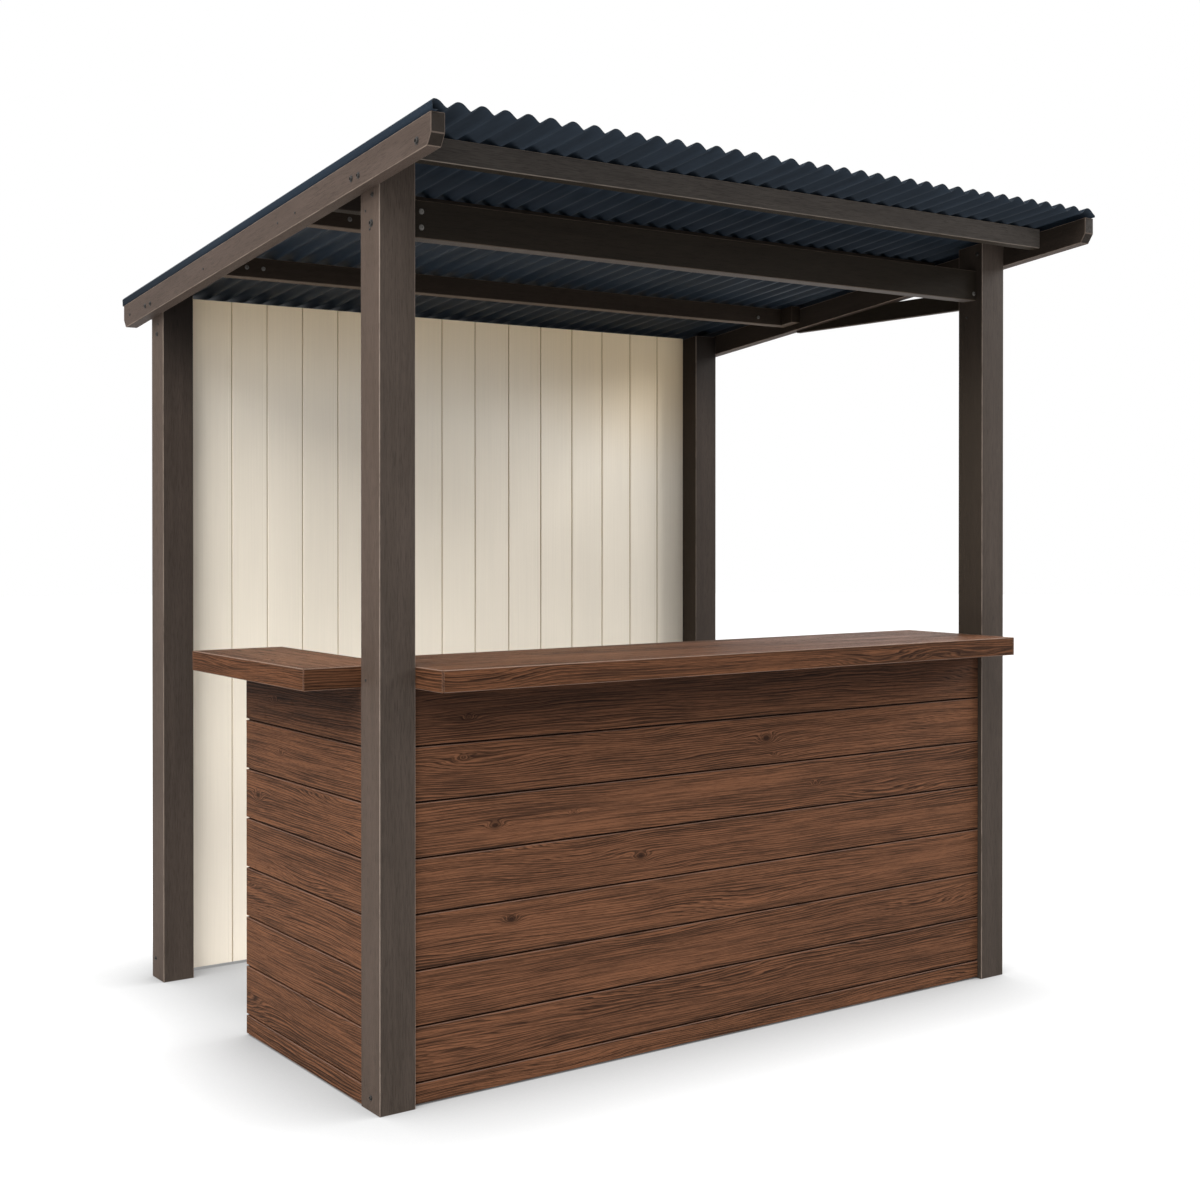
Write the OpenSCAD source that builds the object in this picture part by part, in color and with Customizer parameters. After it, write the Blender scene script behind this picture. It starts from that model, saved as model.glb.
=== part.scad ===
// Open timber kiosk: four posts, a lean-to corrugated roof, a boarded back
// wall and an L-shaped counter with boarded fronts. The staff walk in at the
// rear of the left side; the right side is open.
// +X right, +Y to the back, +Z up. The origin is on the floor, under the
// middle of the box that holds the whole kiosk.

/* [Frame] */
// width over the outer faces of the posts
frame_w = 2250; // [1800:10:3200]
// depth over the outer faces of the posts
frame_d = 1565; // [1200:5:2400]
// side of the square posts
post = 100; // [70:1:140]
// gap left between a post's sloping head and the top of the rafters
post_head_gap = 6; // [0:1:20]

/* [Roof] */
// height of the rafters' top edge at their front end
roof_z = 2394; // [2100:1:2900]
// fall of the roof towards the back, in degrees
roof_slope = 6.3; // [2:0.1:15]
// how far the rafters run in front of the posts
eave_front = 323; // [50:1:600]
// how far the rafters run behind the posts
eave_back = 153; // [50:1:600]
// thickness of a rafter
rafter_t = 38; // [25:1:60]
// plumb height of a rafter
rafter_h = 74; // [50:1:150]
// plumb part of a rafter's front end, above its slanting cut
rafter_nose = 48; // [20:1:74]
// how far the slanting cut runs back
rafter_cut = 18; // [0:1:60]
// height of a purlin
purlin_h = 60; // [40:1:100]
// thickness of a purlin
purlin_t = 30; // [20:1:100]
// how far the purlins stand above the rafters
purlin_proud = 8; // [0:1:20]
// front face of each purlin, measured back from the rafters' front end
purlin_at = [175, 620, 776, 1357, 1956]; // [0:1:2500]

/* [Roof sheet] */
// thickness of the sheet
sheet_t = 1.2; // [0.6:0.1:4]
// height of the waves, from trough to crest
wave_h = 18; // [8:1:40]
// number of waves across the roof
wave_n = 36.6; // [20:0.1:60]
// how much fuller the crests are than the troughs
wave_full = 0.12; // [0:0.01:0.24]
// straight pieces along one wave
wave_steps = 10; // [6:1:16]
// distance from the left edge to the first crest
wave_lead = 8; // [0:1:30]
// how far the sheet runs past the rafters at the front
sheet_front = 7; // [0:1:60]
// how far the sheet runs past the rafters at the back
sheet_back = 11; // [0:1:60]

/* [Beams] */
// height of the beam between the front posts
header_h = 95; // [60:1:160]
// thickness of the beam between the front posts
header_t = 54; // [20:1:75]
// how far the beam sits behind the front faces of the posts
header_in = 25; // [0:1:60]
// clear height under the beam between the front posts
header_z = 2169; // [1900:1:2400]
// height of the tie under the right rafter
tie_h = 60; // [30:1:80]
// thickness of the tie under the right rafter
tie_t = 20; // [12:1:38]
// clear height under the tie under the right rafter
tie_z = 2166; // [1900:1:2300]
// distance from the posts' front faces to the tie's front end
tie_in = 38; // [0:1:80]
// rear end of the tie, behind the frame's middle
tie_end = 230; // [0:5:280]
// length of the block in front of the fourth purlin
block_l = 60; // [30:1:120]
// thickness of the block in front of the fourth purlin
block_t = 40; // [20:1:80]

/* [Back wall] */
// thickness of the wall boards
wall_t = 20; // [12:1:40]
// gap between the wall and the floor
wall_gap = 10; // [0:1:60]
// height of the wall's top edge
wall_top = 2185; // [1800:1:2400]
// height of a rail behind the wall
wall_rail_h = 90; // [45:1:140]
// thickness of a rail behind the wall
wall_rail_t = 38; // [25:1:60]
// height of the underside of each rail behind the wall
wall_rail_z = [80, 1050, 2050]; // [0:1:2300]
// how far the rails stop short of the posts' outer faces
wall_rail_in = 50; // [10:1:100]

/* [Counter] */
// height of the counter's top face
counter_z = 1100; // [850:5:1200]
// thickness of the counter tops
top_t = 55; // [25:1:80]
// how far the front top runs out past the front posts
top_out = 132; // [0:1:300]
// depth of the front top
top_d = 452; // [300:1:700]
// how far the side top runs out past the left posts
side_out = 155; // [0:1:300]
// width of the side top
side_w = 270; // [200:1:600]
// rear end of the side top, behind the frame's middle
side_end = 42; // [-300:1:400]

/* [Counter fronts] */
// thickness of the boards on the counter's front and side
clad_t = 20; // [12:1:40]
// how far the front boards sit behind the posts' front faces
clad_in = 16; // [0:1:60]
// how far the side boards sit inside the posts' left faces
side_in = 0; // [0:1:60]
// gap between the boards and the floor
clad_gap = 5; // [0:1:60]
// rear end of the side boards, behind the frame's middle
side_clad_end = 30; // [-300:1:400]

/* [Counter frame] */
// thickness of the studs and rails behind the boards
stud_t = 45; // [30:1:60]
// height of the rails behind the boards
rail_h = 70; // [45:1:140]
// gap between the bottom rails and the floor
rail_gap = 20; // [0:1:100]
// length of a bracket under the front top
bracket_l = 215; // [100:1:400]
// height of a bracket against its stud
bracket_h = 240; // [100:1:400]
// height of a bracket at its free end
bracket_end = 45; // [20:1:100]

/* [Colours] */
// stained posts, rafters and beams
timber_colour = [0.27, 0.23, 0.20];
// boards and tops of the counter
walnut_colour = [0.38, 0.25, 0.19];
// boards of the back wall
cream_colour = [0.86, 0.82, 0.74];
// roof sheet
navy_colour = [0.10, 0.13, 0.20];

/* [Hidden] */
half_w = frame_w / 2;
half_d = frame_d / 2;
in_w = half_w - post;
in_d = half_d - post;
roof_y0 = -half_d - eave_front;
roof_y1 = half_d + eave_back;
rafter_x = half_w + rafter_t;
sheet_y0 = roof_y0 - sheet_front;
sheet_y1 = roof_y1 + sheet_back;
sheet_l = (sheet_y1 - sheet_y0) / cos(roof_slope);
sheet_w = 2 * (rafter_x - sheet_t);
wave_pitch = sheet_w / wave_n;
sheet_rise = purlin_proud + wave_h + sheet_t;
top_z0 = counter_z - top_t;
side_x0 = -half_w - side_out;
side_x1 = side_x0 + side_w;
front_y0 = -half_d - top_out;
front_y1 = front_y0 + top_d;
clad_y = -half_d + clad_in;
clad_x = -half_w + side_in;
header_y = -half_d + header_in;
stud_y = clad_y + clad_t;
stud_x = clad_x + clad_t;
wall_y = half_d - wall_t;
// studs behind the front boards: one beside each post and three between
front_studs_x = [for (k = [-2:2]) k * (in_w - stud_t / 2) / 2];
// studs behind the side boards: one in the middle and one at the rear end
side_studs_y = [(-in_d + side_clad_end - stud_t) / 2, side_clad_end - stud_t];
centre_x = (side_x0 + rafter_x) / 2;
centre_y = (sheet_y0 + sheet_y1) / 2;

// height of the rafters' top edge above a point that is y behind the middle
function rafter_top(y) = roof_z - tan(roof_slope) * (y - roof_y0);

// height of the underside of the sheet's troughs
function seat(y) = rafter_top(y) + purlin_proud;

// puts the frame's middle at its place beside the origin
module placed() {
  translate([-centre_x, -centre_y, 0])
    children();
}

// a plain square-cut piece from one corner to the opposite one
module bar(lo, hi) {
  translate(lo)
    cube(hi - lo);
}

// a piece that runs along X, from a profile of [y, z] points
module along_x(x0, x1, profile) {
  translate([x0, 0, 0])
    rotate([90, 0, 90])
      linear_extrude(x1 - x0)
        polygon(profile);
}

// one post, with its head cut to the roof's slope; x and y are its low corner
module post_at(x, y) {
  z0 = rafter_top(y) - post_head_gap;
  z1 = rafter_top(y + post) - post_head_gap;
  color(timber_colour)
    placed()
      along_x(x, x + post, [[y, 0], [y + post, 0], [y + post, z1], [y, z0]]);
}

module post_front_left() {
  post_at(-half_w, -half_d);
}

module post_front_right() {
  post_at(in_w, -half_d);
}

module post_back_left() {
  post_at(-half_w, in_d);
}

module post_back_right() {
  post_at(in_w, in_d);
}

// one rafter, with the lower corner of each end cut away on a slant
module rafter_at(x) {
  z0 = rafter_top(roof_y0);
  z1 = rafter_top(roof_y1);
  zc = rafter_top(roof_y0 + rafter_cut) - rafter_h;
  zd = rafter_top(roof_y1 - rafter_cut) - rafter_h;
  color(timber_colour)
    placed()
      along_x(x, x + rafter_t, [
        [roof_y0, z0],
        [roof_y0, z0 - rafter_nose],
        [roof_y0 + rafter_cut, zc],
        [roof_y1 - rafter_cut, zd],
        [roof_y1, z1 - rafter_nose],
        [roof_y1, z1]
      ]);
}

module rafter_left() {
  rafter_at(-rafter_x);
}

module rafter_right() {
  rafter_at(half_w);
}

// one purlin between the rafters; its top and bottom follow the roof
module purlin_nr(n) {
  y0 = roof_y0 + purlin_at[n];
  y1 = y0 + purlin_t;
  color(timber_colour)
    placed()
      along_x(-half_w, half_w, [
        [y0, seat(y0) - purlin_h],
        [y1, seat(y1) - purlin_h],
        [y1, seat(y1)],
        [y0, seat(y0)]
      ]);
}

module purlin_front() {
  purlin_nr(0);
}

module purlin_second() {
  purlin_nr(1);
}

module purlin_upper() {
  purlin_nr(2);
}

module purlin_lower() {
  purlin_nr(3);
}

module purlin_back() {
  purlin_nr(4);
}

module purlin_block() {
  y1 = roof_y0 + purlin_at[3];
  y0 = y1 - block_l;
  color(timber_colour)
    placed()
      along_x(half_w - block_t, half_w, [
        [y0, seat(y0) - purlin_h],
        [y1, seat(y1) - purlin_h],
        [y1, seat(y1)],
        [y0, seat(y0)]
      ]);
}

module header_front() {
  color(timber_colour)
    placed()
      bar([-in_w, header_y, header_z], [in_w, header_y + header_t, header_z + header_h]);
}

// a tie flush with the right rafter's outer face: its front end is packed out
// to the post, and its rear part is cut to fit under the rafter
module side_tie_right() {
  y0 = -half_d + tie_in;
  z1 = tie_z + tie_h;
  color(timber_colour)
    placed()
      union() {
        along_x(rafter_x - tie_t, rafter_x, [
          [y0, tie_z],
          [tie_end, tie_z],
          [tie_end, rafter_top(tie_end) - rafter_h],
          [roof_y0 + (roof_z - rafter_h - z1) / tan(roof_slope), z1],
          [y0, z1]
        ]);
        bar([half_w, y0, tie_z], [rafter_x - tie_t, -in_d, z1]);
      }
}

// height of the sheet's middle line at a distance from its left edge
function wave(s) =
  let (turn = 360 * (s - wave_lead) / wave_pitch)
  wave_h * ((1 + cos(turn)) / 2 + wave_full * pow(sin(turn), 2));

module roof_sheet() {
  n = round(wave_n * wave_steps);
  low = [for (k = [0:n]) [k * sheet_w / n, wave(k * sheet_w / n)]];
  high = [for (k = [n:-1:0]) [k * sheet_w / n, wave(k * sheet_w / n) + sheet_t]];
  color(navy_colour)
    placed()
      translate([-sheet_w / 2, sheet_y0, seat(sheet_y0)])
        rotate([-roof_slope, 0, 0])
          translate([0, sheet_l, 0])
            rotate([90, 0, 0])
              linear_extrude(sheet_l)
                polygon(concat(low, high));
}

// the flat strip that closes one side of the sheet, on top of a rafter
module roof_edge_at(x) {
  color(navy_colour)
    placed()
      along_x(x, x + sheet_t, [
        [sheet_y0, rafter_top(sheet_y0)],
        [sheet_y1, rafter_top(sheet_y1)],
        [sheet_y1, rafter_top(sheet_y1) + sheet_rise],
        [sheet_y0, rafter_top(sheet_y0) + sheet_rise]
      ]);
}

module roof_edge_left() {
  roof_edge_at(-rafter_x);
}

module roof_edge_right() {
  roof_edge_at(rafter_x - sheet_t);
}

module back_wall() {
  color(cream_colour)
    placed()
      bar([-in_w, wall_y, wall_gap], [in_w, half_d, wall_top]);
}

// one rail behind the back wall, fixed to the backs of the rear posts
module wall_rail_nr(n) {
  x = half_w - wall_rail_in;
  z = wall_rail_z[n];
  color(timber_colour)
    placed()
      bar([-x, half_d, z], [x, half_d + wall_rail_t, z + wall_rail_h]);
}

module wall_rail_bottom() {
  wall_rail_nr(0);
}

module wall_rail_middle() {
  wall_rail_nr(1);
}

module wall_rail_top() {
  wall_rail_nr(2);
}

module front_boards() {
  color(walnut_colour)
    placed()
      bar([-in_w, clad_y, clad_gap], [in_w, stud_y, top_z0]);
}

module side_boards() {
  color(walnut_colour)
    placed()
      bar([clad_x, -in_d, clad_gap], [stud_x, side_clad_end, top_z0]);
}

// the front top; its left rear part reaches the side top's inner edge
module front_top() {
  color(walnut_colour)
    placed()
      translate([0, 0, top_z0])
        linear_extrude(top_t)
          polygon([
            [-in_w, front_y0],
            [in_w, front_y0],
            [in_w, front_y1],
            [side_x1, front_y1],
            [side_x1, -in_d],
            [-in_w, -in_d]
          ]);
}

module side_top() {
  color(walnut_colour)
    placed()
      bar([side_x0, -in_d, top_z0], [side_x1, side_end, counter_z]);
}

// a rail behind the front boards with its underside at z
module front_rail_at(z) {
  color(timber_colour)
    placed()
      bar([-in_w, stud_y, z], [in_w, stud_y + stud_t, z + rail_h]);
}

module front_rail_top() {
  front_rail_at(top_z0 - rail_h);
}

module front_rail_bottom() {
  front_rail_at(rail_gap);
}

// a rail behind the side boards with its underside at z
module side_rail_at(z) {
  color(timber_colour)
    placed()
      bar([stud_x, -in_d, z], [stud_x + stud_t, side_clad_end, z + rail_h]);
}

module side_rail_top() {
  side_rail_at(top_z0 - rail_h);
}

module side_rail_bottom() {
  side_rail_at(rail_gap);
}

module front_studs() {
  z0 = rail_gap + rail_h;
  z1 = top_z0 - rail_h;
  color(timber_colour)
    placed()
      for (x = front_studs_x)
        bar([x - stud_t / 2, stud_y, z0], [x + stud_t / 2, stud_y + stud_t, z1]);
}

module side_studs() {
  z0 = rail_gap + rail_h;
  z1 = top_z0 - rail_h;
  color(timber_colour)
    placed()
      for (y = side_studs_y)
        bar([stud_x, y, z0], [stud_x + stud_t, y + stud_t, z1]);
}

// brackets that carry the rear part of the front top, one on each stud
module counter_brackets() {
  y0 = stud_y + stud_t;
  y1 = y0 + bracket_l;
  color(timber_colour)
    placed()
      for (x = front_studs_x)
        along_x(x - stud_t / 2, x + stud_t / 2, [
          [y0, top_z0],
          [y0, top_z0 - bracket_h],
          [y1, top_z0 - bracket_end],
          [y1, top_z0]
        ]);
}

post_front_left();
post_front_right();
post_back_left();
post_back_right();
rafter_left();
rafter_right();
purlin_front();
purlin_second();
purlin_upper();
purlin_lower();
purlin_back();
purlin_block();
header_front();
side_tie_right();
roof_sheet();
roof_edge_left();
roof_edge_right();
back_wall();
wall_rail_bottom();
wall_rail_middle();
wall_rail_top();
front_boards();
side_boards();
front_top();
side_top();
front_rail_top();
front_rail_bottom();
side_rail_top();
side_rail_bottom();
front_studs();
side_studs();
counter_brackets();
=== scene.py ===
"""The looks of an open timber kiosk: stained posts and roof timbers, a dark
corrugated roof, a cream boarded back wall and an L-shaped walnut counter.

Lengths are in metres, +X right, +Y to the back wall, +Z up.
"""

import math
import random

import bmesh
import bpy
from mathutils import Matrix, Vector


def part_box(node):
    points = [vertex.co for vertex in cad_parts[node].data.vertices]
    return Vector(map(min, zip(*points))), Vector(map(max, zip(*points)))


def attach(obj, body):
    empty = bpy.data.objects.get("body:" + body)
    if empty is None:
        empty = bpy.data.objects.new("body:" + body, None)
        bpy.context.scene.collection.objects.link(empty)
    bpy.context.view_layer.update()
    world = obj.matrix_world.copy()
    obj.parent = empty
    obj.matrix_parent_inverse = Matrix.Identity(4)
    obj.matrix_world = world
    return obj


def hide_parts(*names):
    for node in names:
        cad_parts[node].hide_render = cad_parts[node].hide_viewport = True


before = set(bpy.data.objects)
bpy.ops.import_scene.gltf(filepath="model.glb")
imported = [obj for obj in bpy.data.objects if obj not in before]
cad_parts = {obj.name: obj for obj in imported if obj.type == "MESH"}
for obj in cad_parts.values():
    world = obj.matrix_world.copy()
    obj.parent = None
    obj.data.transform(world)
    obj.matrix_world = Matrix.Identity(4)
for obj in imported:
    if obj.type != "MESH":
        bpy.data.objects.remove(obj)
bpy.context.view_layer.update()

MM = 0.001
# places closer together than this are one place
NEAR = 1e-5
chance = random.Random(26)


# ---------------------------------------------------------------- nodes

class Value:
    """A number, vector or colour somewhere in a node tree, used like a number."""

    def __init__(self, nodes, socket):
        self.nodes = nodes
        self.socket = socket

    def _with(self, other, operation, turned=False):
        pair = (other, self) if turned else (self, other)
        wide = any(
            isinstance(v, Value) and v.socket.type in ("VECTOR", "RGBA") for v in pair
        )
        kind = "VectorMath" if wide else "Math"
        return self.nodes.node(kind, {"operation": operation}, *pair)

    def __add__(self, other):
        return self._with(other, "ADD")

    def __radd__(self, other):
        return self._with(other, "ADD", True)

    def __sub__(self, other):
        return self._with(other, "SUBTRACT")

    def __rsub__(self, other):
        return self._with(other, "SUBTRACT", True)

    def __mul__(self, other):
        return self._with(other, "MULTIPLY")

    def __rmul__(self, other):
        return self._with(other, "MULTIPLY", True)

    def __truediv__(self, other):
        return self._with(other, "DIVIDE")

    def __rtruediv__(self, other):
        return self._with(other, "DIVIDE", True)

    def __pow__(self, other):
        return self._with(other, "POWER")

    def __neg__(self):
        return self._with(-1.0, "MULTIPLY")

    def clipped(self, low=0.0, high=1.0):
        """0 below low, 1 above high and a soft step between them."""
        return self.nodes.node(
            "MapRange",
            {"interpolation_type": "SMOOTHSTEP"},
            self, low, high, 0.0, 1.0,
        )

    def parts(self):
        """The three numbers of a vector."""
        split = self.nodes.node("SeparateXYZ", {}, self)
        return [Value(self.nodes, s) for s in split.socket.node.outputs]


class Nodes:
    """A node tree that ends in one surface or background, and the ways to add to it."""

    def __init__(self, tree, skin):
        self.tree = tree
        self.skin = tree.nodes[skin]

    def node(self, kind, settings, *values, out=0, **named):
        """Adds one node: its kind, its settings, then the values of its sockets."""
        node = self.tree.nodes.new("ShaderNode" + kind)
        for key, value in settings.items():
            if key == "stops":
                set_stops(node.color_ramp, value)
            else:
                setattr(node, key, value)
        for key, value in (*enumerate(values), *named.items()):
            socket = node.inputs[key.replace("_", " ") if isinstance(key, str) else key]
            if isinstance(value, Value):
                self.tree.links.new(value.socket, socket)
            elif isinstance(value, (int, float)) and socket.type == "VECTOR":
                socket.default_value = (value,) * 3
            elif isinstance(value, tuple) and socket.type == "RGBA":
                socket.default_value = (*value, 1.0)
            else:
                socket.default_value = value
        return Value(self, node.outputs[out])

    def put(self, **sockets):
        """Joins values to the sockets of the surface or background."""
        for socket, value in sockets.items():
            self.tree.links.new(value.socket, self.skin.inputs[socket.replace("_", " ")])
        return self

    def shown(self):
        """1 for the rays that show a background: camera, glossy and glass rays."""
        rays = self.node("LightPath", {}).socket.node.outputs
        total = Value(self, rays["Is Camera Ray"])
        for name in ("Is Glossy Ray", "Is Transmission Ray"):
            ray = Value(self, rays[name])
            total = self.node("Math", {"operation": "MAXIMUM"}, total, ray)
        return total


class Finish(Nodes):
    """One material."""

    def __init__(self, name, colour, **plain):
        self.material = bpy.data.materials.new(name)
        self.material.use_nodes = True
        super().__init__(self.material.node_tree, "Principled BSDF")
        self.material.diffuse_color = (*colour, 1.0)
        self.skin.inputs["Base Color"].default_value = (*colour, 1.0)
        for socket, value in plain.items():
            self.skin.inputs[socket.replace("_", " ")].default_value = value

    def mixed(self, first, second, amount, way="MIX"):
        """Goes from the first colour to the second."""
        settings = {"data_type": "RGBA", "blend_type": way}
        node = self.node("Mix", settings)
        for index, value in ((0, amount), (6, first), (7, second)):
            socket = node.socket.node.inputs[index]
            if isinstance(value, Value):
                self.tree.links.new(value.socket, socket)
            else:
                socket.default_value = (*value, 1.0) if index else value
        return Value(self, node.socket.node.outputs[2])

    def carried(self, name, out=1):
        """What the mesh carries under this name, as a vector (1) or a number (2)."""
        return self.node("Attribute", {"attribute_name": name}, out=out)

    def spot(self):
        """Where the surface is in the frame: x, y and z."""
        return self.node("TexCoord", {}, out=3).parts()

    def facing(self):
        """Which way the surface faces: x, y and z."""
        return self.node("NewGeometry", {}, out=1).parts()

    def level(self, value):
        """A number as a grey, to multiply a colour with."""
        return self.node("CombineXYZ", {}, value, value, value)

    def speckle(self, place, stretch, detail=3.0, rough=0.5):
        """Soft noise from 0 to 1, stretched along the three directions."""
        return self.node(
            "TexNoise", {}, Vector=place * stretch, Scale=1.0, Detail=detail,
            Roughness=rough,
        )

    def raised(self, height, depth):
        """Raises and sinks the surface's shading by a height from 0 to 1."""
        bump = self.node("Bump", {}, Strength=1.0, Distance=depth, Height=height)
        return self.put(Normal=bump)


def set_stops(ramp, stops):
    """Gives a colour ramp these stops, each a place and a colour."""
    while len(ramp.elements) < len(stops):
        ramp.elements.new(0.5)
    for stop, (at, colour) in zip(ramp.elements, stops):
        stop.position = at
        stop.color = (*colour, 1.0)


def scaled(colour, *by):
    """A colour times one number, or times one for each channel."""
    return tuple(c * k for c, k in zip(colour, by if len(by) == 3 else by * 3))


# ---------------------------------------------------------------- finishes

GRIME_AND_SHADE = (0.012, 0.007, 0.005)
SOOT_AND_SHADE = (0.012, 0.01, 0.008)
RUBBED_WALNUT = (0.42, 0.31, 0.245)


def stained(name, light, dark, worn, under=None, indoors=None, front=None, drift=0.0,
            roof_shade=1.0, sheen=0.08):
    """Planed timber under a thin dark stain, with rubbed arrises.

    `under` is the colour of undersides, lighter or darker than the faces as
    painted light and shade. The end grain and shade colour is end grain's own
    darker tone, and painted shade on inward faces, darker still towards the top.
    `front` multiplies the faces that look to the front darker, as painted shade,
    `drift` is how much lighter the stain gets per metre to the right, and the
    roof shade level is how dark a painted shadow makes those front faces close
    under the roof.
    """
    f = Finish(name, light, Roughness=0.6, Specular_IOR_Level=sheen)
    place = f.carried("grain")
    right, _, height = f.spot()
    _, back, up = f.facing()
    streaks = f.speckle(place, (1.4, 70.0, 70.0), 5.0, 0.55)
    fine = f.speckle(place, (14.0, 520.0, 520.0), 3.0, 0.6)
    cloud = f.speckle(place, (3.5, 16.0, 16.0), 4.0, 0.6)
    tone = streaks * 0.45 + cloud * 0.5 + fine * 0.12 - 0.04
    colour = f.mixed(dark, light, tone.clipped(0.25, 0.75))
    pores = (0.52 - f.speckle(place, (30.0, 800.0, 800.0), 2.0, 0.5)).clipped(0.0, 0.16)
    colour = f.mixed(colour, scaled(dark, 0.55), pores * 0.5)
    # painted light and shade: undersides take their own colour, lighter or darker than the
    # faces
    if under:
        colour = f.mixed(colour, under, (-up).clipped(0.6, 0.9))
    high = height.clipped(1.75, 2.15)
    # painted shade: faces that look to the front are multiplied darker than the others
    if front:
        front_shade_mask = (-back).clipped(0.6, 0.9)
        colour = f.mixed(colour, front, front_shade_mask, "MULTIPLY")
        # painted shadow: the front faces darken close under the roof
        if roof_shade < 1.0:
            colour = f.mixed(colour, (roof_shade,) * 3, high * front_shade_mask, "MULTIPLY")
    if drift:
        colour = colour * f.level(right * drift + 1.0)
    # painted shade on inward faces, darker still towards the top under the roof; end grain
    # keeps its own darker tone
    if indoors:
        inner = f.mixed(indoors, scaled(indoors, 0.25), high)
        colour = f.mixed(colour, inner, f.carried("indoors", 2) * (0.95 - tone * 0.25))
    rub = f.speckle(place, (11.0, 50.0, 50.0), 4.0, 0.7)
    rubbed = f.carried("worn", 2).clipped() * (rub * 1.3).clipped(0.2, 0.8)
    colour = f.mixed(colour, worn, rubbed)
    f.put(Base_Color=colour, Roughness=0.52 + streaks * 0.2 + rubbed * 0.1)
    return f.raised(fine * 0.5 + streaks * 0.4 - pores * 0.5, 0.0004).material


# half the width of a knot whose eye is fully dark
FULL_EYE = 18 * MM
RINGS_PER_METRE = 132.0
HAIRS_PER_METRE = 287.0

# where the tone of the grain falls, and how light the wood is there
WALNUT_TONES = ((0.1, 0.3), (0.33, 0.68), (0.5, 1.03), (0.66, 1.4), (0.86, 1.85))


def knotted(spot, knots):
    """How far the knots push the growth lines aside, and the knots' own eyes."""
    lift, eye = 0.0, 0.0
    for flat, z, size, on_side in knots:
        dx = (spot[1] if on_side else spot[0]) - flat
        dz = spot[2] - z
        wide = 1.0 / ((dx / (size * 4.2)) ** 2.0 + (dz / (size * 1.2)) ** 2.0 + 1.0)
        core = 1.0 / ((dx / (size * 1.3)) ** 2.0 + (dz / (size * 0.75)) ** 2.0 + 1.0)
        lift = lift + core * core * (size * 1.25) - dz * wide * wide
        eye = eye + core * core * min(1.0, size / FULL_EYE)
    return lift, eye


def growth_lines(f, place, lift):
    """The broad and the hair-thin growth lines, with their sway and flames."""
    _, across, deep = place.parts()
    cell = f.node(
        "TexVoronoi", {"feature": "F1"},
        Vector=place * (1.5, 8.0, 8.0), Scale=1.0, Randomness=1.0,
    )
    flame = (1.0 - cell / 0.5).clipped()
    sway = f.speckle(place, (0.55, 3.2, 3.2), 2.0, 0.4)
    ripple = f.speckle(place, (2.6, 15.0, 15.0), 2.0, 0.5)
    crowd = f.speckle(place, (1.6, 55.0, 55.0), 2.0, 0.5)
    field = (
        across + deep * 0.7 + (sway - 0.5) * 0.12 + (ripple - 0.5) * 0.024
        + (crowd - 0.5) * 0.013 + flame * 0.022 + lift
    )
    rings = f.node("Math", {"operation": "FRACT"}, field * RINGS_PER_METRE)
    hairs = f.node("Math", {"operation": "FRACT"}, field * HAIRS_PER_METRE)
    broad = rings.clipped(0.15, 0.86) - rings.clipped(0.86, 1.0)
    thin = hairs.clipped(0.2, 0.8) - hairs.clipped(0.8, 1.0)
    return broad, thin


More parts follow.
